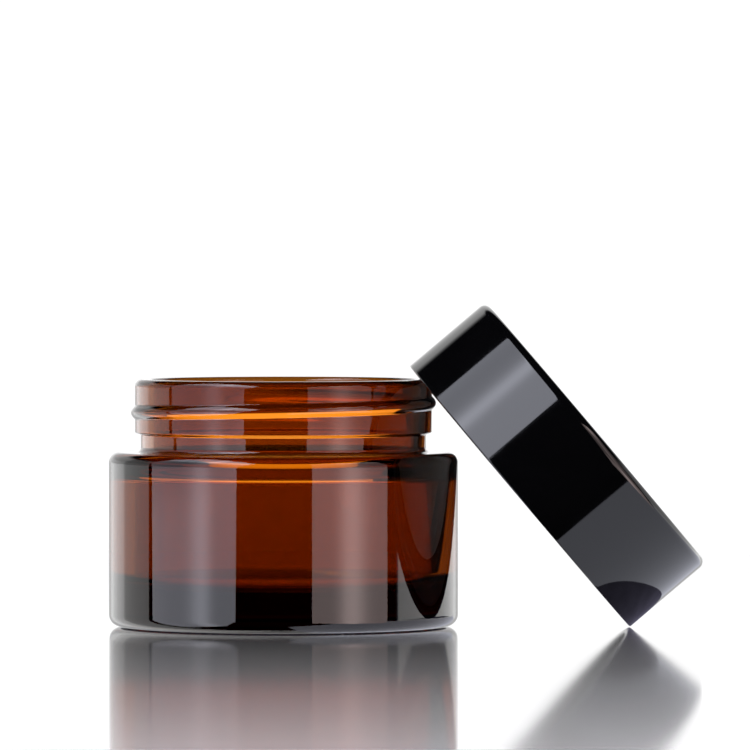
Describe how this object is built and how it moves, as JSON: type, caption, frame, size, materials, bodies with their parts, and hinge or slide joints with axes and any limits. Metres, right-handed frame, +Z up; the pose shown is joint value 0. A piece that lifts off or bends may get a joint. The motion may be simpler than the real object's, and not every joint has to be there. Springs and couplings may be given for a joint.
{
  "type": "cosmetic cream jar",
  "caption": "Squat thick-walled amber glass cream jar with an open threaded neck, and its black double-walled screw cap leaning on it.",
  "frame": {"origin": "centre of the jar's flat base", "axes": "+Z up along the jar's axis; the cap leans towards +X, and the jar's front is -Y"},
  "size_m": [0.102, 0.0603, 0.0551],
  "materials": {
    "amber_glass": "clear amber glass, polished, very smooth",
    "black_gloss": "high gloss black with very fine lengthwise streaks",
    "black_satin": "satin moulded black",
    "white_foam": "matt closed-cell foam"
  },
  "bodies": {
    "jar": {"glass_jar": "amber_glass"},
    "liner": {"cap_liner": "white_foam"},
    "cap": {"cap_shell": "black_gloss", "cap_insert": "black_satin"}
  },
  "joints": [
    {"name": "cap_lift_away", "type": "slide", "parent": "jar", "child": "liner", "axis": [0.7638, 0, 0.6455], "range_m": [0, 0.06]},
    {"name": "cap_turn", "type": "hinge", "parent": "liner", "child": "cap", "pos_m": [0.04059, -0.001, 0.02228], "axis": [0.7638, 0, 0.6455], "continuous": true}
  ]
}
